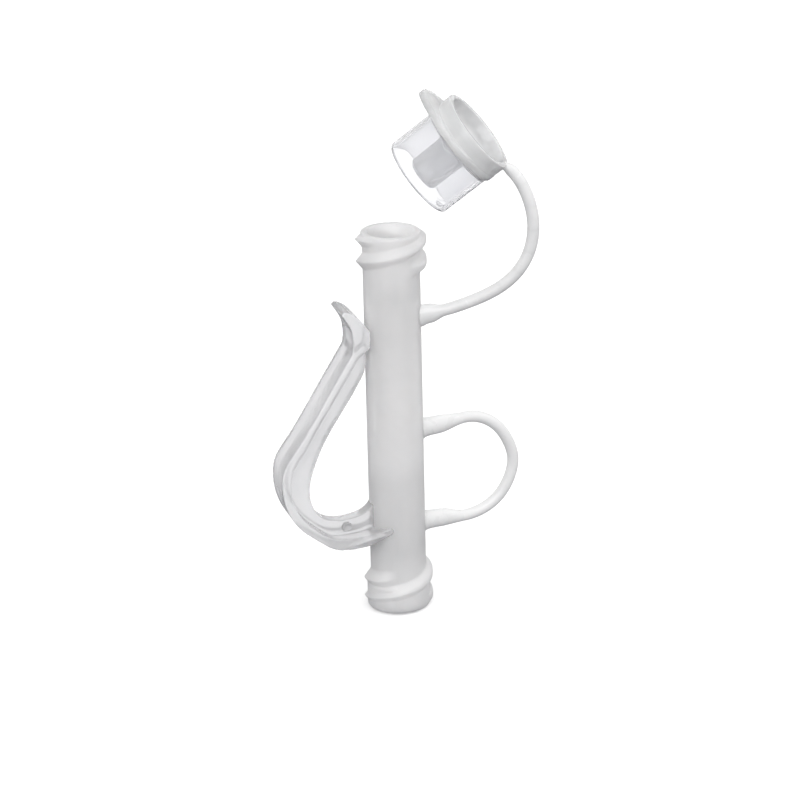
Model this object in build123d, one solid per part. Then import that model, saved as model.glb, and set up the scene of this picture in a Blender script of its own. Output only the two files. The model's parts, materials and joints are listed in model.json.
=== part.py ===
from build123d import *
from math import cos, sin, tan, atan2, radians, degrees, hypot
import os

os.makedirs("parts", exist_ok=True)

# Double-ended tube connector with a spring clip, a finger loop and a tethered cap.
# Origin: centre of the tube's lower end face. +Z runs up the tube, the clip is at -X
# and the loop at +X. All sizes in millimetres.

# ---- tube -----------------------------------------------------------------------------
TUBE_R = 3.15            # outside radius of the straight barrel
TUBE_L = 44.3            # overall length
SOCKET_R = 2.1           # socket wall radius at each end
SOCKET_L = 8.0           # depth of each socket
LUMEN_R = 1.5            # narrower passage between the two sockets
FOOT_R = 3.4             # slightly wider foot ring at the lower end
FOOT_H = 0.45

# ---- two-start end threads --------------------------------------------------------------
THREAD_CREST_R = 3.9
THREAD_LEAD = 5.0
THREAD_ROOT_W = 1.9      # width at the barrel
THREAD_CREST_W = 0.5     # width at the crest
THREAD_TURN = 0.86       # part of a turn covered by each start
UPPER_START_Z = 39.9     # crest height where an upper start begins
LOWER_START_Z = 0.1      # the same for a lower start

# ---- spring clip ------------------------------------------------------------------------
CLIP_W = 4.4             # width of the flat strip
WEB_W = 1.6              # width of the stiffening web on its inner side
CLIP_HINGE = (-10.2, 10.05)   # outer skin of the lower bend, where the arm flexes
CLIP_CUT = (0.61, 0.79)       # direction across the strip at the flexing line
CUT_GAP = 0.05

# ---- loop -------------------------------------------------------------------------------
LOOP_D = 1.3
LOOP_Z_TOP = 20.9
LOOP_Z_LOW = 9.6

# ---- strap and cap (built in the XZ plane, then turned about the tube) --------------------
STRAP_TURN = -22.8       # strap plane, turned about Z from the loop plane
STRAP_D = 1.3
HINGES = [(6.2, 35.38), (8.624, 36.259), (10.954, 37.366), (13.03, 38.896), (14.597, 40.944),
          (15.423, 43.387), (15.49, 45.965), (14.86, 48.465), (13.605, 50.718)]
END_GAP = 0.46           # clear gap at the first and last bending line
MID_GAP = 0.2            # clear gap at the other bending lines
CAP_RIM = (9.8, 55.55)   # centre of the cap's upper rim
CAP_TILT = 38.5          # cap axis above the horizontal
CAP_H = 8.5              # rim to opening
HEAD_R = 4.84
HEAD_H = 2.5             # rim down to the ceiling of the skirt
HEAD_WALL = 0.8
FLANGE_T = 0.85
SKIRT_R = 4.62
SKIRT_IN_R = 4.12
PLUG_R = 1.95
PLUG_END = 0.5           # plug tip sits this far inside the opening
PLUG_WALL = 0.6
TAB_REACH = 7.2          # thumb tab tip from the cap axis
LUG_R = 3.98             # inner face of the small skirt lugs
LUG_COUNT = 4
STRAP_JOIN = 0.03        # strap centreline below the rim


def clip_tube(shape):
    """Remove whatever would lie inside the barrel's outside surface."""
    return shape - Pos(0, 0, TUBE_L / 2) * Cylinder(TUBE_R, TUBE_L + 4)


# ---------------------------------------------------------------- tube and its end threads
def barrel():
    body = Pos(0, 0, TUBE_L / 2) * Cylinder(TUBE_R, TUBE_L)
    body -= Pos(0, 0, SOCKET_L / 2) * Cylinder(SOCKET_R, SOCKET_L)
    body -= Pos(0, 0, TUBE_L - SOCKET_L / 2) * Cylinder(SOCKET_R, SOCKET_L)
    body -= Pos(0, 0, TUBE_L / 2) * Cylinder(LUMEN_R, TUBE_L)
    return body


def foot_ring():
    ring = Pos(0, 0, FOOT_H / 2) * Cylinder(FOOT_R, FOOT_H)
    return ring - Pos(0, 0, FOOT_H / 2) * Cylinder(TUBE_R, FOOT_H)


def thread_start(z0):
    """One start of a right-hand thread: a tapered ridge wound round the barrel."""
    rise = THREAD_LEAD * THREAD_TURN
    path = Helix(pitch=THREAD_LEAD, height=rise, radius=TUBE_R)
    ridge = Plane(origin=path @ 0, z_dir=path % 0, x_dir=(1, 0, 0)) * make_face(
        Polyline((-0.3, -THREAD_ROOT_W / 2 - 0.1), (0, -THREAD_ROOT_W / 2),
                 (THREAD_CREST_R - TUBE_R, -THREAD_CREST_W / 2),
                 (THREAD_CREST_R - TUBE_R, THREAD_CREST_W / 2),
                 (0, THREAD_ROOT_W / 2), (-0.3, THREAD_ROOT_W / 2 + 0.1), close=True))
    wound = Pos(0, 0, z0) * sweep(ridge, path=path, is_frenet=True)
    tall = TUBE_L - FOOT_H
    inside = Pos(0, 0, FOOT_H + tall / 2) * Cylinder(THREAD_CREST_R + 1, tall)
    return clip_tube(wound & inside)


# ---------------------------------------------------------------------------- spring clip
def on_xz(points):
    return [(x, 0, z) for x, z in points]


STRIP_OUT = [(-1.5, 9.07), (-3.9, 8.33), (-5.5, 8.2), (-7.8, 8.43), (-9.85, 9.76),
             (-11.87, 11.52), (-13.3, 14.0), (-13.75, 16.9), (-13.4, 18.9), (-12.3, 20.6),
             (-10.5, 23.2), (-8.3, 26.7), (-5.3, 31.4)]
STRIP_IN = [(-1.5, 10.6), (-3.91, 9.71), (-6.25, 9.58), (-7.76, 9.68), (-9.71, 10.9),
            (-11.27, 12.4), (-12.3, 14.1), (-12.75, 16.82), (-12.45, 18.4), (-11.3, 20.3),
            (-9.52, 23.13), (-7.29, 26.59), (-4.4, 31.1)]
WEB_IN = [(-2.2, 13.9), (-3.0, 12.85), (-3.8, 12.0), (-5.5, 11.45), (-7.4, 11.4),
          (-9.1, 12.1), (-10.15, 14.0), (-10.2, 16.2), (-9.83, 17.58), (-9.19, 19.29),
          (-7.72, 22.07), (-5.42, 25.55), (-3.9, 28.3), (-3.7, 30.2)]


def band(side_a, side_b, width):
    """A flat bent strip between two smooth edge lines, extruded to its width."""
    a = Spline(on_xz(side_a))
    b = Spline(on_xz(side_b))
    face = make_face([a, Line(a @ 1, b @ 1), b, Line(b @ 0, a @ 0)])
    return extrude(face, amount=width / 2, dir=(0, 1, 0), both=True)


def clip_side(keep_arm):
    """Half-space on one side of the flexing line, leaving the small cut gap."""
    x0, z0 = CLIP_HINGE
    angle = degrees(atan2(CLIP_CUT[1], CLIP_CUT[0]))
    block = Box(60, 20, 60)
    shift = 30 + CUT_GAP if keep_arm else -30
    return Pos(x0, 0, z0) * Rot(0, -angle, 0) * Pos(0, 0, shift) * block


def strip(keep_arm):
    return clip_tube(band(STRIP_OUT, STRIP_IN, CLIP_W)) & clip_side(keep_arm)


def web(keep_arm):
    return clip_tube(band(STRIP_IN, WEB_IN, WEB_W)) & clip_side(keep_arm)


def clip_pad():
    """Rounded nose of the arm that rests against the barrel."""
    edge = make_face([Spline(on_xz([(-3.7, 30.2), (-3.45, 31.3), (-3.2, 32.4), (-3.2, 33.75)])),
                      Line((-3.2, 0, 33.75), (-5.2, 0, 33.2)),
                      Spline(on_xz([(-5.2, 33.2), (-5.18, 32.2), (-5.3, 31.4)])),
                      Line((-5.3, 0, 31.4), (-4.4, 0, 31.1)),
                      Line((-4.4, 0, 31.1), (-3.7, 0, 30.2))])
    nose = extrude(edge, amount=CLIP_W / 2, dir=(0, 1, 0), both=True)
    return nose - Pos(0, 0, 30) * Cylinder(TUBE_R + CUT_GAP, 20)


def clip_lip():
    """Out-turned lip above the nose that guides a line in under the arm."""
    edge = make_face([Line((-3.2, 0, 33.75), (-5.2, 0, 33.2)),
                      Spline(on_xz([(-5.2, 33.2), (-5.37, 34.17), (-5.84, 35.09), (-6.4, 36.0)])),
                      Line((-6.4, 0, 36.0), (-6.05, 0, 36.35)),
                      Spline(on_xz([(-6.05, 36.35), (-5.14, 35.94), (-4.08, 34.87),
                                    (-3.2, 33.75)]))])
    lip = extrude(edge, amount=CLIP_W / 2, dir=(0, 1, 0), both=True)
    return lip - Pos(0, 0, 30) * Cylinder(TUBE_R + CUT_GAP, 20)


def gate_mark():
    """Small round moulding gate scar on the front of the web."""
    return Pos(-6.2, -WEB_W / 2 - 0.1, 10.5) * Rot(90, 0, 0) * Cylinder(0.5, 0.2)


# ----------------------------------------------------------------------------------- loop
LOOP_LINE = [(7.6, 21.33), (8.95, 21.43), (11.8, 20.1), (13.4, 17.7), (13.9, 15.8),
             (13.5, 13.55), (12.0, 11.2), (9.1, 9.65), (7.6, 9.45)]


def loop_ring():
    path = Spline(on_xz(LOOP_LINE))
    return sweep(Plane(origin=path @ 0, z_dir=path % 0) * Circle(LOOP_D / 2), path=path)


def loop_root(z_tube, z_mid, at, way):
    """Flared root blending the round loop into the barrel."""
    path = Spline(on_xz(LOOP_LINE))
    far = Plane(origin=path @ at, x_dir=(0, 1, 0), z_dir=(path % at) * way)
    mid = Plane(origin=(5.35, 0, z_mid), x_dir=(0, 1, 0), z_dir=(1, 0, 0))
    near = Plane(origin=(TUBE_R - 0.6, 0, z_tube), x_dir=(0, 1, 0), z_dir=(1, 0, 0))
    root = loft([near * Ellipse(0.8, 1.08), mid * Ellipse(0.75, 1.02), far * Circle(LOOP_D / 2)])
    return clip_tube(root)


# -------------------------------------------------------------------------- strap and cap
def turned(shape):
    return Rot(0, 0, STRAP_TURN) * shape


def heading(i):
    (x0, z0), (x1, z1) = HINGES[i], HINGES[i + 1]
    return degrees(atan2(z1 - z0, x1 - x0))


def strap_link(i):
    """Stiff length of strap between two bending lines."""
    (x0, z0), (x1, z1) = HINGES[i], HINGES[i + 1]
    length = hypot(x1 - x0, z1 - z0)
    gap0 = END_GAP if i == 0 else MID_GAP
    gap1 = END_GAP if i == len(HINGES) - 2 else MID_GAP
    back = 0 if i == 0 else (heading(i) - heading(i - 1)) / 2
    fore = 0 if i == len(HINGES) - 2 else (heading(i + 1) - heading(i)) / 2
    rod = Pos(0, 0, length / 2) * Cylinder(STRAP_D / 2, length + 2)
    rod &= Rot(0, back, 0) * Pos(0, 0, gap0 / 2 + 20) * Box(20, 20, 40)
    rod &= Pos(0, 0, length) * Rot(0, -fore, 0) * Pos(0, 0, -gap1 / 2 - 20) * Box(20, 20, 40)
    return turned(Pos(x0, 0, z0) * Rot(0, 90 - heading(i), 0) * rod)


def strap_root():
    """Flared root of the strap on the barrel."""
    x1, z1 = HINGES[0]
    way = radians(heading(0))
    end = (x1 - END_GAP / 2 * cos(way), 0, z1 - END_GAP / 2 * sin(way))
    near = Plane(origin=(TUBE_R - 0.6, 0, 34.6), x_dir=(0, 1, 0), z_dir=(1, 0, 0))
    mid = Plane(origin=(4.5, 0, 34.8), x_dir=(0, 1, 0), z_dir=(1, 0, 0.15))
    far = Plane(origin=end, x_dir=(0, 1, 0), z_dir=(cos(way), 0, sin(way)))
    root = loft([near * Ellipse(0.85, 1.25), mid * Ellipse(0.8, 1.1), far * Circle(STRAP_D / 2)])
    return turned(clip_tube(root))


def placed_on_cap(shape):
    """Cap pieces are drawn upright with the rim at z = 0, then tilted into place."""
    x, z = CAP_RIM
    return turned(Pos(x, 0, z) * Rot(0, 90 - CAP_TILT, 0) * shape)


def ring(r_out, r_in, z_low, z_high):
    mid, tall = (z_low + z_high) / 2, z_high - z_low
    return Pos(0, 0, mid) * Cylinder(r_out, tall) - Pos(0, 0, mid) * Cylinder(r_in, tall + 1)


def cap_head():
    wall = ring(HEAD_R, HEAD_R - HEAD_WALL, -HEAD_H + FLANGE_T, 0)
    return placed_on_cap(fillet(wall.edges().group_by(Axis.Z)[-1], 0.25))


def cap_flange():
    return placed_on_cap(ring(HEAD_R, PLUG_R - PLUG_WALL, -HEAD_H, -HEAD_H + FLANGE_T))


def cap_thumb_tab():
    low = -HEAD_H
    edge = Spline([(-3.4, 3.1, low), (-5.5, 2.65, low), (-6.8, 1.4, low), (-TAB_REACH, 0, low),
                   (-6.8, -1.4, low), (-5.5, -2.65, low), (-3.4, -3.1, low)])
    leaf = extrude(make_face([edge, Line(edge @ 1, edge @ 0)]), amount=FLANGE_T, dir=(0, 0, 1))
    return placed_on_cap(leaf - Cylinder(HEAD_R, 20))


def cap_skirt():
    wall = ring(SKIRT_R, SKIRT_IN_R, -CAP_H, -HEAD_H)
    return placed_on_cap(wall)


def cap_lug(i):
    """Short inward rib near the opening that snaps over the end thread."""
    rib = ring(SKIRT_IN_R, LUG_R, -CAP_H + 0.6, -CAP_H + 1.3)
    rib &= Rot(0, 0, 45 + i * 360 / LUG_COUNT) * Pos(4, 0, -CAP_H) * Box(3, 1.8, 6)
    return placed_on_cap(rib)


def cap_plug():
    tip = -CAP_H + PLUG_END
    body = Pos(0, 0, (tip - HEAD_H) / 2) * Cylinder(PLUG_R, -HEAD_H - tip)
    body = fillet(body.edges().group_by(Axis.Z)[0], 0.35)
    hollow = Pos(0, 0, (tip + PLUG_WALL - HEAD_H) / 2) * Cylinder(
        PLUG_R - PLUG_WALL, -HEAD_H - tip - PLUG_WALL)
    return placed_on_cap(body - hollow)


def strap_tip():
    """End of the strap that joins the side of the cap's head."""
    reach = hypot(HINGES[-1][0] - CAP_RIM[0], HINGES[-1][1] - CAP_RIM[1])
    stop = (reach ** 2 - STRAP_JOIN ** 2) ** 0.5 - END_GAP / 2
    rod = Pos(stop - 2, 0, -STRAP_JOIN) * Rot(0, 90, 0) * Cylinder(STRAP_D / 2, 4)
    return placed_on_cap(rod - Pos(0, 0, 0) * Cylinder(HEAD_R, 20))


# ---------------------------------------------------------------------------------- export
nodes = {
    "barrel": barrel(),
    "foot_ring": foot_ring(),
    "upper_thread_a": Rot(0, 0, 108) * thread_start(UPPER_START_Z),
    "upper_thread_b": Rot(0, 0, 288) * thread_start(UPPER_START_Z),
    "lower_thread_a": Rot(0, 0, 302.4) * thread_start(LOWER_START_Z),
    "lower_thread_b": Rot(0, 0, 122.4) * thread_start(LOWER_START_Z),
    "clip_bridge": strip(False),
    "clip_bridge_web": web(False),
    "gate_mark": gate_mark(),
    "clip_arm": strip(True),
    "clip_arm_web": web(True),
    "clip_contact_pad": clip_pad(),
    "clip_lip": clip_lip(),
    "loop": loop_ring(),
    "loop_upper_root": loop_root(LOOP_Z_TOP, 21.0, 0, 1),
    "loop_lower_root": loop_root(LOOP_Z_LOW, 9.6, 1, -1),
    "strap_root": strap_root(),
    "strap_tip": strap_tip(),
    "cap_head": cap_head(),
    "cap_flange": cap_flange(),
    "cap_thumb_tab": cap_thumb_tab(),
    "cap_skirt": cap_skirt(),
    "cap_plug": cap_plug(),
}
for i in range(len(HINGES) - 1):
    nodes[f"strap_link_{i + 1}"] = strap_link(i)
for i in range(LUG_COUNT):
    nodes[f"cap_lug_{i + 1}"] = cap_lug(i)

for name, shape in nodes.items():
    export_step(shape, f"parts/{name}.step")
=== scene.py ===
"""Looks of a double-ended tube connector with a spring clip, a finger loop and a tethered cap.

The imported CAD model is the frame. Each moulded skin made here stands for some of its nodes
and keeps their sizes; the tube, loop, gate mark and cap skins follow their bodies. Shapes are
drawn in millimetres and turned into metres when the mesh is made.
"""

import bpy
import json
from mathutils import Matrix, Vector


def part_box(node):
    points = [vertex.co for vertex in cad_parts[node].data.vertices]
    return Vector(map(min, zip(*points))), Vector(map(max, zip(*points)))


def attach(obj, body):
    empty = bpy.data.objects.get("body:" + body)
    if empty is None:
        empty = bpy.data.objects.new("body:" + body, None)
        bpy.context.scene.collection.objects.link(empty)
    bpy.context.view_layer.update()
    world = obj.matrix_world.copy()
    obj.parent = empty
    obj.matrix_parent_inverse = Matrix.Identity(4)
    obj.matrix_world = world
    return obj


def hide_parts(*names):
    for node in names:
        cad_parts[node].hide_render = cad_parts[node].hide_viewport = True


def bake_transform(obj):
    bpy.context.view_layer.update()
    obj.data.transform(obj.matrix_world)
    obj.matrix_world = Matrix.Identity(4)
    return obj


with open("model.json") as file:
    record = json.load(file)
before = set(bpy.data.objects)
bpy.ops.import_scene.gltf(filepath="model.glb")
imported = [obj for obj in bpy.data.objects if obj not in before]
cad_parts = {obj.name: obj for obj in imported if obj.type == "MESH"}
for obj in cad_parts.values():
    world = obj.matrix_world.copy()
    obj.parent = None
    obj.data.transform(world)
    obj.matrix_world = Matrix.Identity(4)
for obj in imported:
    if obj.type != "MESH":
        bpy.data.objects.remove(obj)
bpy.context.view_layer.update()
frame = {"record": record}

import json
from math import cos, pi, radians, sin

import bpy
import numpy as np
from mathutils import Matrix, Vector

MM = 0.001

# ------------------------------------------------------------------ sizes taken from the frame


def box_mm(node):
    low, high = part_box(node)
    return np.array(low) / MM, np.array(high) / MM


def centre_mm(node):
    low, high = box_mm(node)
    return (low + high) / 2


BARREL_HIGH = box_mm("barrel")[1]
TUBE_R = BARREL_HIGH[0]
TUBE_L = BARREL_HIGH[2]
CREST_R = box_mm("upper_thread_a")[1][0]
FOOT_R = box_mm("foot_ring")[1][0]
MOUNTS = {m["name"]: m for m in frame["record"]["mounts"]}
SOCKET_R = MOUNTS["upper_socket"]["dims"]["r_mm"]
SOCKET_L = MOUNTS["upper_socket"]["dims"]["length_mm"]
LUMEN_R = 1.5                    # narrower passage between the two sockets
MOUTH_R = 2.55                   # the upper socket opens out to this in a soft cone
JOINTS = {j["name"]: j for j in frame["record"]["behaviour"]["joints"]}
LINKS = 8                        # lengths of strap between its nine bending lines
BENDS = [np.array(JOINTS[f"strap_bend_{i + 1}"]["pos_m"]) / MM for i in range(LINKS + 1)]

# the strap lies in a plane through the tube's axis; ACROSS is square to that plane
OUTWARD = Vector((BENDS[0][0], BENDS[0][1], 0)).normalized()
ACROSS = np.array(Vector((0, 0, 1)).cross(OUTWARD))
OUTWARD = np.array(OUTWARD)

# ------------------------------------------------------------------------------ mesh helpers


def add_mesh(name, verts_mm, faces, materials, face_slots=None):
    """Smooth-shaded object in the scene; face_slots picks a material for each face."""
    mesh = bpy.data.meshes.new(name)
    mesh.from_pydata((np.asarray(verts_mm, float) * MM).tolist(), [], faces)
    mesh.update()
    for material in materials:
        mesh.materials.append(material)
    mesh.polygons.foreach_set("use_smooth", [True] * len(mesh.polygons))
    if face_slots is not None:
        mesh.polygons.foreach_set("material_index", face_slots)
    obj = bpy.data.objects.new(name, mesh)
    bpy.context.scene.collection.objects.link(obj)
    return obj


def ring_faces(count, around, closed=False):
    """Quads over a stack of rings; closed also joins the last ring to the first."""
    faces = []
    for i in range(count if closed else count - 1):
        k = (i + 1) % count
        for j in range(around):
            n = (j + 1) % around
            faces.append((i * around + j, i * around + n, k * around + n, k * around + j))
    return faces


def end_caps(count, around):
    """The two faces that close an open stack of rings."""
    last = (count - 1) * around
    return [tuple(range(around - 1, -1, -1)), tuple(range(last, last + around))]


class Curve:
    """Natural cubic curve through a few points, measured along its chords."""

    def __init__(self, points):
        p = np.asarray(points, float)
        self.p = p
        self.t = np.r_[0, np.cumsum(np.linalg.norm(np.diff(p, axis=0), axis=1))]
        h = np.diff(self.t)
        n = len(p)
        a, rhs = np.eye(n), np.zeros_like(p)
        for i in range(1, n - 1):
            a[i, i - 1:i + 2] = h[i - 1], 2 * (h[i - 1] + h[i]), h[i]
            rhs[i] = 6 * ((p[i + 1] - p[i]) / h[i] - (p[i] - p[i - 1]) / h[i - 1])
        self.m = np.linalg.solve(a, rhs)
        self.length = self.t[-1]

    def at(self, s):
        s = np.atleast_1d(np.clip(s, 0, self.length))
        i = np.clip(np.searchsorted(self.t, s, side="right") - 1, 0, len(self.p) - 2)
        h = (self.t[i + 1] - self.t[i])[:, None]
        a, b = (self.t[i + 1] - s)[:, None], (s - self.t[i])[:, None]
        return ((self.m[i] * a ** 3 + self.m[i + 1] * b ** 3) / (6 * h)
                + (self.p[i] / h - self.m[i] * h / 6) * a
                + (self.p[i + 1] / h - self.m[i + 1] * h / 6) * b)

    def even(self, count):
        return self.at(np.linspace(0, self.length, count))


def in_xz(points):
    return [(x, 0.0, z) for x, z in points]


def sweep_rings(centre, ahead, side, half_tall, half_wide, around):
    """Oval rings along a flat path: half_tall lies in the path's plane, half_wide along side."""
    ahead = ahead / np.linalg.norm(ahead, axis=1)[:, None]
    up = np.cross(side, ahead)
    angle = np.linspace(0, 2 * pi, around, endpoint=False)
    return (centre[:, None, :]
            + (half_tall[:, None] * np.cos(angle))[..., None] * up[:, None, :]
            + (half_wide[:, None] * np.sin(angle))[..., None] * np.asarray(side)[None, None, :])


def prism(outline, half_width, centre_y=0.0):
    """Closed slab with an XZ outline: (vertices, faces)."""
    outline = [tuple(p) for p in outline]
    n = len(outline)
    verts = [(x, centre_y - half_width, z) for x, z in outline]
    verts += [(x, centre_y + half_width, z) for x, z in outline]
    faces = [tuple(range(n)), tuple(range(2 * n - 1, n - 1, -1))]
    faces += [(i + n, (i + 1) % n + n, (i + 1) % n, i) for i in range(n)]
    return verts, faces


def fused(name, solids, voxel, rounds, materials):
    """One moulded body from overlapping closed solids, its corners and edges softened."""
    verts, faces = [], []
    for solid_verts, solid_faces in solids:
        base = len(verts)
        verts += solid_verts
        faces += [tuple(i + base for i in face) for face in solid_faces]
    mesh = bpy.data.meshes.new(name)
    mesh.from_pydata([tuple(map(float, v)) for v in verts], [], faces)
    obj = bpy.data.objects.new(name, mesh)
    bpy.context.scene.collection.objects.link(obj)
    remesh = obj.modifiers.new("union", "REMESH")
    remesh.mode, remesh.voxel_size = "VOXEL", voxel
    smooth = obj.modifiers.new("soften", "SMOOTH")
    smooth.factor, smooth.iterations = 0.5, rounds
    depsgraph = bpy.context.evaluated_depsgraph_get()
    made = bpy.data.meshes.new_from_object(obj.evaluated_get(depsgraph))
    obj.modifiers.clear()
    made.transform(Matrix.Scale(MM, 4))
    made.name = name
    obj.data = made
    made.materials.clear()
    for material in materials:
        made.materials.append(material)
    made.polygons.foreach_set("use_smooth", [True] * len(made.polygons))
    return obj


def smoothstep(t):
    t = np.clip(t, 0, 1)
    return t * t * (3 - 2 * t)


# --------------------------------------------------------------------------------- materials


def plastic(name, colour, tint, rough, clear, milk, milk_mm=1.0, mottle=0.5, bump=0.15):
    """Moulded translucent plastic with faint cloudy mottling and a soft uneven skin.

    colour and tint are the two shades of the mottling, clear is the share of light let straight
    through, milk the share scattered inside, and milk_mm how far that light travels.
    """
    material = bpy.data.materials.new(name)
    material.use_nodes = True
    nodes, links = material.node_tree.nodes, material.node_tree.links
    shader = nodes["Principled BSDF"]
    place = nodes.new("ShaderNodeTexCoord")
    cloud = nodes.new("ShaderNodeTexNoise")
    cloud.inputs["Scale"].default_value = 260
    cloud.inputs["Detail"].default_value = 3
    cloud.inputs["Roughness"].default_value = 0.55
    links.new(place.outputs["Object"], cloud.inputs["Vector"])
    ramp = nodes.new("ShaderNodeValToRGB")
    ramp.color_ramp.elements[0].position = 0.5 - mottle / 2
    ramp.color_ramp.elements[1].position = 0.5 + mottle / 2
    ramp.color_ramp.elements[0].color = (*tint, 1)
    ramp.color_ramp.elements[1].color = (*colour, 1)
    links.new(cloud.outputs["Fac"], ramp.inputs["Fac"])
    links.new(ramp.outputs["Color"], shader.inputs["Base Color"])
    sheen = nodes.new("ShaderNodeMapRange")
    sheen.inputs["To Min"].default_value = rough * 0.85
    sheen.inputs["To Max"].default_value = rough * 1.2
    links.new(cloud.outputs["Fac"], sheen.inputs["Value"])
    links.new(sheen.outputs["Result"], shader.inputs["Roughness"])
    skin = nodes.new("ShaderNodeTexNoise")
    skin.inputs["Scale"].default_value = 900
    skin.inputs["Detail"].default_value = 2
    links.new(place.outputs["Object"], skin.inputs["Vector"])
    relief = nodes.new("ShaderNodeBump")
    relief.inputs["Strength"].default_value = bump
    relief.inputs["Distance"].default_value = 0.00006
    links.new(skin.outputs["Fac"], relief.inputs["Height"])
    links.new(relief.outputs["Normal"], shader.inputs["Normal"])
    shader.inputs["IOR"].default_value = 1.47
    shader.inputs["Transmission Weight"].default_value = clear
    shader.inputs["Subsurface Weight"].default_value = milk
    shader.inputs["Subsurface Radius"].default_value = (1.0, 0.97, 0.95)
    shader.inputs["Subsurface Scale"].default_value = milk_mm * MM
    return material


def floor_finish():
    """Matt white, barely mottled, with a little light of its own."""
    material = bpy.data.materials.new("pale_floor")
    material.use_nodes = True
    nodes, links = material.node_tree.nodes, material.node_tree.links
    shader = nodes["Principled BSDF"]
    grain = nodes.new("ShaderNodeTexNoise")
    grain.inputs["Scale"].default_value = 40
    ramp = nodes.new("ShaderNodeValToRGB")
    ramp.color_ramp.elements[0].color = (0.97, 0.97, 0.97, 1)
    ramp.color_ramp.elements[1].color = (0.99, 0.99, 0.99, 1)
    links.new(grain.outputs["Fac"], ramp.inputs["Fac"])
    links.new(ramp.outputs["Color"], shader.inputs["Base Color"])
    shader.inputs["Roughness"].default_value = 0.9
    links.new(ramp.outputs["Color"], shader.inputs["Emission Color"])
    shader.inputs["Emission Strength"].default_value = 0.09
    return material


TUBE_MILK = plastic("tube_milk", (0.90, 0.892, 0.894), (0.85, 0.842, 0.845), 0.36, 0.36, 0.9, 3.0)
CLIP_MILK = plastic("clip_milk", (0.80, 0.80, 0.806), (0.74, 0.74, 0.752), 0.16, 0.7, 0.3, 1.5)
STRAP_MILK = plastic("strap_milk", (0.73, 0.73, 0.73), (0.68, 0.68, 0.683), 0.26, 0.0, 0.35, 0.7)
HEAD_MILK = plastic("head_milk", (0.95, 0.952, 0.955), (0.90, 0.903, 0.91), 0.13, 0.56, 0.4, 1.5,
                    bump=0.08)
# the dish's recess gets darker colours than the head around it: painted shade in the hollow
DISH_PAINTED_SHADE = plastic("dish_painted_shade", (0.70, 0.702, 0.706), (0.50, 0.503, 0.512), 0.16, 0.3, 0.3, 1.0)
SKIRT_CLEAR = plastic("skirt_clear", (0.965, 0.967, 0.98), (0.93, 0.932, 0.955), 0.08, 0.86, 0.0,
                      bump=0.05)
PLUG_MILK = plastic("plug_milk", (0.88, 0.882, 0.888), (0.82, 0.823, 0.832), 0.08, 0.62, 0.2, 0.8)

# --------------------------------------------------------------------- tube with its threads
THREAD_WIDE = 1.9
THREAD_SWEEP = 309.6             # degrees covered by each start
THREAD_FADE = 38.0               # degrees over which a start rises and dies away
THREAD_ZONES = (6.0, 38.0)       # threads lie below the first height and above the second
# first crest height, first angle in degrees, and rise in one turn, of each thread start
STARTS = [(40.17, 108.0, 5.0), (40.17, 288.0, 5.0), (0.55, 302.4, 4.3), (0.33, 122.4, 5.5)]
LOW_THREAD_WIDE = 2.3            # the lower ridges are a little broader
LOW_END_Z, LOW_END_R = 3.5, 3.57  # the barrel is thicker below this height
RIM_SWELL = 0.16                 # slight outward swell of the upper mouth
RIM_FADE = 0.75                  # the ridges die away over this height below the upper mouth


def ridge(angle, z):
    """Height of the thread ridges above the barrel at an angle (degrees) and a height."""
    tall = np.zeros(np.broadcast(angle, z).shape)
    half = np.where(z < LOW_END_Z + 2, LOW_THREAD_WIDE, THREAD_WIDE) / 2
    pointed = 0.5 - 0.5 * np.cos(np.radians(angle))      # sharper on the clip side
    for z0, a0, lead in STARTS:
        for turn in (-1, 0, 1, 2):
            along = angle + 360 * turn - a0
            inside = (along >= 0) & (along <= THREAD_SWEEP)
            crest = z0 + lead * along / 360
            off = np.abs(z - crest) / half
            bell = smoothstep((1 - off) / 0.75)
            point = np.clip(1 - off, 0, 1) ** 1.15
            fade = (smoothstep(along / THREAD_FADE)
                    * smoothstep((THREAD_SWEEP - along) / THREAD_FADE))
            here = (CREST_R - TUBE_R) * fade * ((1 - pointed) * bell + pointed * point)
            tall = np.maximum(tall, np.where(inside, here, 0))
    return tall * smoothstep((TUBE_L + 0.05 - z) / RIM_FADE)


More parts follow.
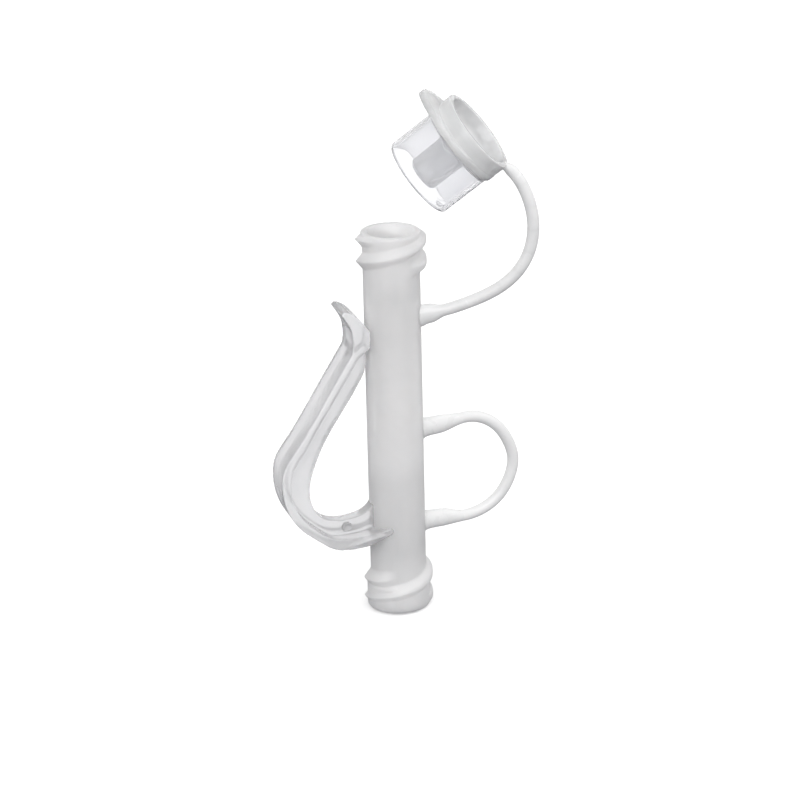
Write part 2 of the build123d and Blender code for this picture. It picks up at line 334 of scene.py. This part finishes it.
def tube_moulding():
    """Barrel, foot and threads as one turned skin, with both sockets and the passage inside."""
    around = 192
    fine, coarse = 0.09, 0.8
    angle = np.linspace(0, 360, around, endpoint=False)
    way = np.c_[np.cos(np.radians(angle)), np.sin(np.radians(angle))]
    outer = np.r_[np.arange(0.2, THREAD_ZONES[0], fine), np.arange(*THREAD_ZONES, coarse),
                  np.arange(THREAD_ZONES[1], TUBE_L - 0.16, fine)]
    rings = []

    def add(radius, z):
        rings.append(np.c_[way * (np.ones(around) * radius)[:, None], np.full(around, z)])

    def outside(z):
        thick = (LOW_END_R - TUBE_R) * smoothstep((LOW_END_Z - z) / 0.8)
        foot = (FOOT_R - TUBE_R) * smoothstep((0.9 - z) / 0.6)
        swell = RIM_SWELL * smoothstep((z - TUBE_L + 1.3) / 1.0)
        return TUBE_R + np.maximum(ridge(angle, np.full(around, z)), max(thick, foot, swell))

    add(outside(0.0) - 0.3, 0.0)
    add(outside(0.04) - 0.16, 0.04)
    add(outside(0.1) - 0.06, 0.1)
    for z in outer:
        add(outside(z), z)
    add(outside(TUBE_L - 0.07) - 0.05, TUBE_L - 0.07)
    add(outside(TUBE_L) - 0.16, TUBE_L)
    bore = [(MOUTH_R + 0.1, TUBE_L), (MOUTH_R, TUBE_L - 0.05), (MOUTH_R - 0.12, TUBE_L - 0.4),
            (SOCKET_R + 0.04, TUBE_L - 0.95), (SOCKET_R, TUBE_L - 1.4),
            (SOCKET_R, TUBE_L - SOCKET_L / 2), (SOCKET_R, TUBE_L - SOCKET_L),
            (LUMEN_R, TUBE_L - SOCKET_L), (LUMEN_R, TUBE_L / 2), (LUMEN_R, SOCKET_L),
            (SOCKET_R, SOCKET_L), (SOCKET_R, SOCKET_L / 2), (SOCKET_R, 0.3),
            (SOCKET_R + 0.1, 0.06), (SOCKET_R + 0.28, 0.0)]
    for radius, z in bore:
        add(radius, z)
    rings = np.array(rings)
    tube = add_mesh("tube_moulding", rings.reshape(-1, 3),
                    ring_faces(len(rings), around, closed=True), [TUBE_MILK])
    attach(tube, "connector")
    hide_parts("barrel", "foot_ring", "upper_thread_a", "upper_thread_b",
                "lower_thread_a", "lower_thread_b")


# ------------------------------------------------------------------------------ finger loop
LOOP_LINE = [(2.7, 20.84), (4.0, 20.93), (5.35, 21.04), (7.5, 21.35), (8.95, 21.43),
             (11.8, 20.1), (13.4, 17.7), (13.9, 15.8), (13.5, 13.55), (12.0, 11.2),
             (9.1, 9.65), (7.2, 9.5), (5.7, 9.62), (4.0, 9.62), (2.7, 9.6)]
LOOP_SIDES = 40


def root_flare(reach):
    """Half height of the loop at some distance out from the barrel's surface."""
    return (0.64 + 0.42 * (1 - smoothstep((reach - 1.9) / 3.0))
            + 0.22 * np.exp(-np.clip(reach, 0, None) / 0.35))


def finger_loop():
    """Round loop that thickens into the barrel at both ends."""
    line = Curve(in_xz(LOOP_LINE))
    count = 190
    centre = line.even(count)
    ahead = np.gradient(centre, axis=0)
    reach = centre[:, 0] - TUBE_R
    tall = root_flare(reach)
    wide = 0.62 + 0.2 * (1 - smoothstep((reach - 0.5) / 3.5)) + 0.2 * np.exp(
        -np.clip(reach, 0, None) / 0.3)
    rings = sweep_rings(centre, ahead, (0, 1, 0), tall, wide, LOOP_SIDES)
    faces = ring_faces(count, LOOP_SIDES) + end_caps(count, LOOP_SIDES)
    loop = add_mesh("finger_loop", rings.reshape(-1, 3), faces, [STRAP_MILK])
    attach(loop, "connector")
    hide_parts("loop", "loop_upper_root", "loop_lower_root")


# ------------------------------------------------------------------------------ spring clip
STRIP_OUT = [(-1.3, 9.95), (-2.5, 9.0), (-3.9, 8.36), (-5.5, 8.2), (-7.8, 8.43), (-9.85, 9.76),
             (-11.87, 11.52), (-13.3, 14.0), (-13.75, 16.9), (-13.4, 18.9), (-12.3, 20.6),
             (-10.5, 23.2), (-8.3, 26.7), (-5.3, 31.4)]
STRIP_IN = [(-1.3, 10.3), (-2.5, 10.05), (-3.91, 9.71), (-6.25, 9.58), (-7.76, 9.68),
            (-9.71, 10.9), (-11.27, 12.4), (-12.3, 14.1), (-12.75, 16.82), (-12.45, 18.4),
            (-11.3, 20.3), (-9.52, 23.13), (-7.29, 26.59), (-4.4, 31.1)]
WEB_IN = [(-2.2, 13.9), (-3.0, 12.85), (-3.8, 12.0), (-5.5, 11.45), (-7.4, 11.4),
          (-9.1, 12.1), (-10.15, 14.0), (-10.2, 16.2), (-9.83, 17.58), (-9.19, 19.29),
          (-7.72, 22.07), (-5.42, 25.55), (-4.2, 27.5), (-3.5, 29.0), (-3.36, 30.4), (-3.4, 32.0)]
NOSE = [(-3.38, 31.7), (-3.27, 32.2), (-3.22, 32.7), (-3.22, 33.75)]
LIP_OUT = [(-5.3, 31.4), (-5.18, 32.3), (-5.2, 33.2), (-5.37, 34.17), (-5.84, 35.09),
           (-6.4, 36.0)]
LIP_IN = [(-3.22, 33.75), (-4.08, 34.87), (-5.14, 35.94), (-6.05, 36.35)]
NOSE_FOOT = (-4.8, 30.6)         # the nose reaches down into the strip to here
STRIP_HALF, WEB_HALF = 2.2, 0.8
ROOT_SPREAD = 0.3                # the strip widens by this share where it meets the barrel
SLEEVE_R = TUBE_R - 0.04         # inside the barrel's skin: gives the clip's root its fillet
SLEEVE_SPAN = (6.5, 15.5)
CLIP_VOXEL = 0.1
CLIP_ROUNDS = 7                  # rounds of softening after the pieces are joined


def flat(points, count):
    return Curve(in_xz(points)).even(count)[:, [0, 2]]


def spring_clip():
    """Bridge, arm, web, nose and lip as one moulding, rooted in a sleeve inside the barrel."""
    strip = np.vstack([flat(STRIP_OUT, 90), flat(STRIP_IN, 90)[::-1]])
    web = np.vstack([flat(STRIP_IN, 90) + (-0.12, -0.05), flat(WEB_IN, 90)[::-1]])
    nose = np.vstack([flat(NOSE, 12), flat(LIP_IN, 12)[1:], flat(LIP_OUT, 16)[::-1],
                      [NOSE_FOOT]])
    strip_verts, strip_faces = prism(strip, STRIP_HALF)
    strip_verts = [(x, y * (1 + ROOT_SPREAD * smoothstep((x + 3.5) / 1.9)), z)
                   for x, y, z in strip_verts]
    sides = 64
    turn = np.linspace(0, 2 * pi, sides, endpoint=False)
    sleeve = ([(SLEEVE_R * cos(a), SLEEVE_R * sin(a), z) for z in SLEEVE_SPAN for a in turn],
              ring_faces(2, sides) + end_caps(2, sides))
    solids = [(strip_verts, strip_faces), prism(web, WEB_HALF), prism(nose, STRIP_HALF), sleeve]
    clip = fused("spring_clip", solids, CLIP_VOXEL, CLIP_ROUNDS, [CLIP_MILK])
    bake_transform(clip)
    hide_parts("clip_bridge", "clip_bridge_web", "clip_arm", "clip_arm_web",
                "clip_contact_pad", "clip_lip")


def gate_button():
    """Small round mark with a raised edge, left on the web by the mould's inlet."""
    middle = centre_mm("gate_mark")
    sides = 40
    turn = np.linspace(0, 2 * pi, sides, endpoint=False)
    # (radius, height above the web's face)
    profile = [(0.60, -0.08), (0.60, 0.06), (0.57, 0.16), (0.50, 0.22),
               (0.42, 0.21), (0.34, 0.14), (0.24, 0.11), (0.10, 0.10)]
    rings = [np.c_[middle[0] + r * np.cos(turn), np.full(sides, -WEB_HALF - lift),
                   middle[2] + r * np.sin(turn)] for r, lift in profile]
    faces = ring_faces(len(profile), sides) + end_caps(len(profile), sides)
    button = add_mesh("gate_button", np.array(rings).reshape(-1, 3), faces, [CLIP_MILK])
    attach(button, "connector")
    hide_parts("gate_mark")


# ------------------------------------------------------------------------------------- cap
# The skirt and the flange are rings round the cap's axis, so their box centres lie on it.
SKIRT_MID = centre_mm("cap_skirt")
CAP_UP = centre_mm("cap_flange") - SKIRT_MID
CAP_UP /= np.linalg.norm(CAP_UP)
CAP_H = 8.5                      # rim to opening
HEAD_H, HEAD_R = 2.5, 4.84
SKIRT_R, SKIRT_IN_R = 4.62, 4.12
FLANGE_T, FLANGE_R = 0.85, 5.32
PLUG_R, PLUG_WALL = 1.95, 0.6
PLUG_END = 0.5                   # the plug's tip lies this far inside the opening
LUG_REACH = 0.14                 # the small lugs stand this far in from the skirt's wall
LUG_COUNT = 4
SKIRT, HEAD, PLUG, DISH = range(4)   # material slots of the cap
CAP_RIM = SKIRT_MID + CAP_UP * (CAP_H + HEAD_H) / 2
CAP_SIDE = -np.cross(CAP_UP, ACROSS)    # towards the strap
CAP_SIDE /= np.linalg.norm(CAP_SIDE)
if CAP_SIDE[2] > 0:                     # the strap joins the cap's lower side
    CAP_SIDE = -CAP_SIDE


def on_cap(points):
    """Cap coordinates (strap side, across, up from the rim) turned into the part's frame."""
    p = np.asarray(points, float)
    third = np.cross(CAP_UP, CAP_SIDE)
    return CAP_RIM + p[..., 0:1] * CAP_SIDE + p[..., 1:2] * third + p[..., 2:3] * CAP_UP


def tab_outline(angle):
    """Radius of the flange's edge: round, with one leaf opposite the strap."""
    off = np.abs((np.degrees(angle) % 360) - 180)
    leaf = np.interp(off, [0, 5, 10, 15, 20, 25, 30, 36, 44, 52, 62],
                     [7.2, 7.1, 6.85, 6.58, 6.32, 6.08, 5.88, 5.68, 5.5, 5.4, 5.32])
    round_end = FLANGE_R - (FLANGE_R - HEAD_R - 0.02) * smoothstep((off - 88) / 34)
    return np.where(off > 62, round_end, leaf)


def cap_profile():
    """(radius, height, follows the leaf, material) from the plug's tip to the dish's centre."""
    tip = -CAP_H + PLUG_END
    hollow = PLUG_R - PLUG_WALL
    floor = -HEAD_H + FLANGE_T
    flange = [(4.66, -HEAD_H - 0.06, 0, HEAD), (4.72, -HEAD_H, 0, HEAD), (-0.14, -HEAD_H, 1, HEAD),
              (-0.04, -HEAD_H + 0.05, 1, HEAD), (0, -HEAD_H + 0.16, 1, HEAD),
              (0, floor - 0.16, 1, HEAD), (-0.04, floor - 0.05, 1, HEAD), (-0.14, floor, 1, HEAD)]
    plug = [(0.12, tip, 0, PLUG), (PLUG_R - 0.55, tip, 0, PLUG),
            (PLUG_R - 0.25, tip + 0.08, 0, PLUG), (PLUG_R - 0.08, tip + 0.25, 0, PLUG),
            (PLUG_R - 0.02, tip + 0.5, 0, PLUG),
            (PLUG_R - 0.01, -5.5, 0, PLUG), (PLUG_R, -4.0, 0, PLUG), (PLUG_R, -3.0, 0, PLUG),
            (PLUG_R + 0.1, -2.62, 0, PLUG), (PLUG_R + 0.3, -HEAD_H, 0, HEAD)]
    inside = [(SKIRT_IN_R - 0.35, -HEAD_H, 0, HEAD), (SKIRT_IN_R - 0.1, -HEAD_H - 0.1, 0, SKIRT),
              (SKIRT_IN_R, -HEAD_H - 0.4, 0, SKIRT)]
    inside += [(SKIRT_IN_R, z, 0, SKIRT) for z in np.linspace(-3.4, -CAP_H + 0.3, 20)]
    lip = [(SKIRT_IN_R + 0.04, -CAP_H + 0.12, 0, SKIRT), (SKIRT_IN_R + 0.13, -CAP_H + 0.02, 0, SKIRT),
           (SKIRT_IN_R + 0.25, -CAP_H, 0, SKIRT), (SKIRT_R - 0.1, -CAP_H + 0.04, 0, SKIRT),
           (SKIRT_R - 0.01, -CAP_H + 0.16, 0, SKIRT)]
    outside = [(SKIRT_R, z, 0, SKIRT) for z in (-CAP_H + 0.4, -7.0, -5.5, -4.0, -3.0)]
    head = [(HEAD_R - 0.01, floor + 0.03, 0, HEAD), (HEAD_R - 0.03, floor + 0.12, 0, HEAD),
            (HEAD_R, -0.9, 0, HEAD), (HEAD_R, -0.16, 0, HEAD), (HEAD_R - 0.03, -0.05, 0, HEAD),
            (HEAD_R - 0.1, 0, 0, HEAD), (HEAD_R - 0.3, 0.01, 0, HEAD), (HEAD_R - 0.55, 0, 0, HEAD),
            # from here the dish's inner wall and floor take the darker dish colours, painted shade in
            # the recess
            (HEAD_R - 0.64, -0.06, 0, DISH), (HEAD_R - 0.68, -0.2, 0, DISH),
            (HEAD_R - 0.8, -0.9, 0, DISH), (HEAD_R - 1.05, floor + 0.2, 0, DISH),
            (HEAD_R - 1.5, floor + 0.02, 0, DISH), (hollow + 0.9, floor, 0, DISH),
            (hollow + 0.25, floor - 0.03, 0, DISH), (hollow + 0.05, floor - 0.2, 0, DISH),
            (hollow, floor - 0.6, 0, PLUG), (hollow - 0.05, -4.5, 0, PLUG),
            (hollow - 0.08, tip + PLUG_WALL + 0.3, 0, PLUG), (hollow - 0.3, tip + PLUG_WALL, 0, PLUG),
            (0.12, tip + PLUG_WALL, 0, PLUG)]
    return plug + inside + lip + outside + flange + head


def cap_moulding():
    """Cap turned from one profile, with the leaf-shaped flange and the small inner lugs."""
    around = 160
    angle = np.linspace(0, 2 * pi, around, endpoint=False)
    lobes = np.clip(np.cos(LUG_COUNT * (angle - pi / LUG_COUNT)), 0, 1) ** 3
    leaf = tab_outline(angle)
    profile = cap_profile()
    rings = []
    for radius, z, on_leaf, _ in profile:
        r = np.maximum(leaf + radius, HEAD_R - 0.02) if on_leaf else np.full(around, radius)
        if abs(radius - SKIRT_IN_R) < 1e-6:
            r = r - LUG_REACH * lobes * np.exp(-((z + CAP_H - 0.95) / 0.3) ** 2)
        rings.append(np.c_[r * np.cos(angle), r * np.sin(angle), np.full(around, z)])
    rings = on_cap(np.array(rings))
    count = len(rings)
    faces = ring_faces(count, around) + end_caps(count, around)
    slots = [profile[i][3] for i in range(count - 1) for _ in range(around)] + [PLUG, PLUG]
    cap = add_mesh("cap_moulding", rings.reshape(-1, 3), faces,
                   [SKIRT_CLEAR, HEAD_MILK, PLUG_MILK, DISH_PAINTED_SHADE], slots)
    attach(cap, "cap")
    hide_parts("cap_head", "cap_flange", "cap_thumb_tab", "cap_skirt", "cap_plug",
                *[f"cap_lug_{i + 1}" for i in range(LUG_COUNT)])


# ----------------------------------------------------------------------------------- strap
STRAP_HALF = 0.66                # half its thickness
STRAP_JOIN = 0.12                # its end meets the head this far below the rim


def strap_girth(i, s, length, centre):
    """Half thickness and half width along one length of strap, flared at the barrel."""
    tall, wide = np.full(len(s), STRAP_HALF), np.full(len(s), STRAP_HALF)
    if i == 0:
        out = centre @ OUTWARD - TUBE_R
        tall = STRAP_HALF + 0.42 * (1 - smoothstep((out - 1.0) / 1.6)) + 0.2 * np.exp(
            -np.clip(out, 0, None) / 0.35)
        wide = STRAP_HALF + 0.15 * (1 - smoothstep((out - 0.5) / 2.0))
    if i == LINKS:
        tall = STRAP_HALF * (1 - 0.35 * smoothstep((s - length + 1.2) / 1.0))
    return tall, wide


def strap_skins():
    """The strap is one smooth curve cut at mid-link; each length holds one bending line."""
    up = np.array((0, 0, 1.0))
    # from inside the barrel's wall towards the first bending line
    start = [OUTWARD * 2.7 + up * 34.5, OUTWARD * 3.3 + up * 34.66, OUTWARD * 4.7 + up * 34.98]
    reach = on_cap([[4.45, 0, -STRAP_JOIN - 0.3], [5.3, 0, -STRAP_JOIN]])
    line = Curve(start + BENDS + [reach[1], reach[0]])
    first = len(start)
    knots = [line.t[first + i] for i in range(LINKS + 1)]
    cuts = [0.0] + [(knots[i] + knots[i + 1]) / 2 for i in range(LINKS)] + [line.length]
    around, dense = 32, 0.16
    for i in range(LINKS + 1):
        s = np.linspace(cuts[i], cuts[i + 1], max(8, round((cuts[i + 1] - cuts[i]) / dense)))
        centre = line.at(s)
        ahead = line.at(s + 0.01) - line.at(s - 0.01)
        tall, wide = strap_girth(i, s, line.length, centre)
        rings = sweep_rings(centre, ahead, ACROSS, tall, wide, around)
        skin = add_mesh(f"strap_skin_{i + 1}", rings.reshape(-1, 3),
                        ring_faces(len(s), around), [STRAP_MILK])
        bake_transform(skin)
        stands_for = {0: ["strap_root"], LINKS: ["strap_tip"]}.get(i, [])
        if i:
            stands_for.append(f"strap_link_{i}")
        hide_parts(*stands_for)


# ----------------------------------------------------------------------------------- stage
CAMERA_TARGET = Vector((0.65, 0, 24.5)) * MM
CAMERA_DISTANCE = 309 * MM
CAMERA_LEFT, CAMERA_ABOVE, CAMERA_ROLL = radians(17), radians(20.79), radians(-1.334)
CAMERA_LENS = 124.9
SKY_TOP, SKY_SIDE, SKY_BELOW = (0.9, 0.9, 0.9, 1), (0.82, 0.82, 0.82, 1), (0.26, 0.26, 0.28, 1)
FLOOR_HALF = 3.0                 # metres
FLOOR_Z = -0.0002                # metres, a hair below the tube's foot
LAMP_AIM = Vector((0, 0, 0.03))  # metres, half way up the tube and cap


def camera():
    """View from the front left and a little above, rolled by just over a degree."""
    back = Vector((-sin(CAMERA_LEFT) * cos(CAMERA_ABOVE),
                   -cos(CAMERA_LEFT) * cos(CAMERA_ABOVE), sin(CAMERA_ABOVE)))
    right = (-back).cross(Vector((0, 0, 1))).normalized()
    up = right.cross(-back)
    x = right * cos(CAMERA_ROLL) + up * sin(CAMERA_ROLL)
    y = up * cos(CAMERA_ROLL) - right * sin(CAMERA_ROLL)
    place = CAMERA_TARGET + back * CAMERA_DISTANCE
    data = bpy.data.cameras.new("camera")
    data.lens, data.sensor_width = CAMERA_LENS, 36
    data.clip_start, data.clip_end = 0.01, 10
    obj = bpy.data.objects.new("camera", data)
    bpy.context.scene.collection.objects.link(obj)
    obj.matrix_world = Matrix(((x[0], y[0], back[0], place[0]), (x[1], y[1], back[1], place[1]),
                               (x[2], y[2], back[2], place[2]), (0, 0, 0, 1)))
    bpy.context.scene.camera = obj


def area_light(name, place, size, power):
    """Square lamp aimed at the object; place and size in metres, power in watts."""
    data = bpy.data.lights.new(name, "AREA")
    data.size, data.energy = size, power
    obj = bpy.data.objects.new(name, data)
    obj.location = place
    obj.rotation_mode = "QUATERNION"
    obj.rotation_quaternion = (LAMP_AIM - Vector(place)).to_track_quat("-Z", "Y")
    bpy.context.scene.collection.objects.link(obj)


def studio():
    """Pale floor, sky bright above and darker below, and two soft lamps."""
    half, low = FLOOR_HALF, FLOOR_Z
    floor = bpy.data.meshes.new("floor")
    floor.from_pydata([(-half, -half, low), (half, -half, low), (half, half, low),
                       (-half, half, low)], [], [(0, 1, 2, 3)])
    floor.materials.append(floor_finish())
    obj = bpy.data.objects.new("floor", floor)
    bpy.context.scene.collection.objects.link(obj)
    obj.visible_diffuse = obj.visible_glossy = False
    world = bpy.data.worlds.new("studio")
    bpy.context.scene.world = world
    world.use_nodes = True
    nodes, links = world.node_tree.nodes, world.node_tree.links
    place = nodes.new("ShaderNodeTexCoord")
    split = nodes.new("ShaderNodeSeparateXYZ")
    links.new(place.outputs["Generated"], split.inputs["Vector"])
    height = nodes.new("ShaderNodeMapRange")
    height.inputs["From Min"].default_value = -1
    links.new(split.outputs["Z"], height.inputs["Value"])
    sky = nodes.new("ShaderNodeValToRGB")
    sky.color_ramp.interpolation = "EASE"
    sky.color_ramp.elements[0].position, sky.color_ramp.elements[0].color = 0.2, SKY_BELOW
    sky.color_ramp.elements[1].position, sky.color_ramp.elements[1].color = 0.85, SKY_TOP
    sky.color_ramp.elements.new(0.5).color = SKY_SIDE
    links.new(height.outputs["Result"], sky.inputs["Fac"])
    links.new(sky.outputs["Color"], nodes["Background"].inputs["Color"])
    area_light("key", (-0.3, -0.6, 0.45), 0.6, 3.4)
    area_light("fill", (0.5, -0.2, 0.4), 0.4, 1.0)
    bpy.context.scene.view_settings.view_transform = "Standard"


tube_moulding()
finger_loop()
spring_clip()
gate_button()
cap_moulding()
strap_skins()
camera()
studio()
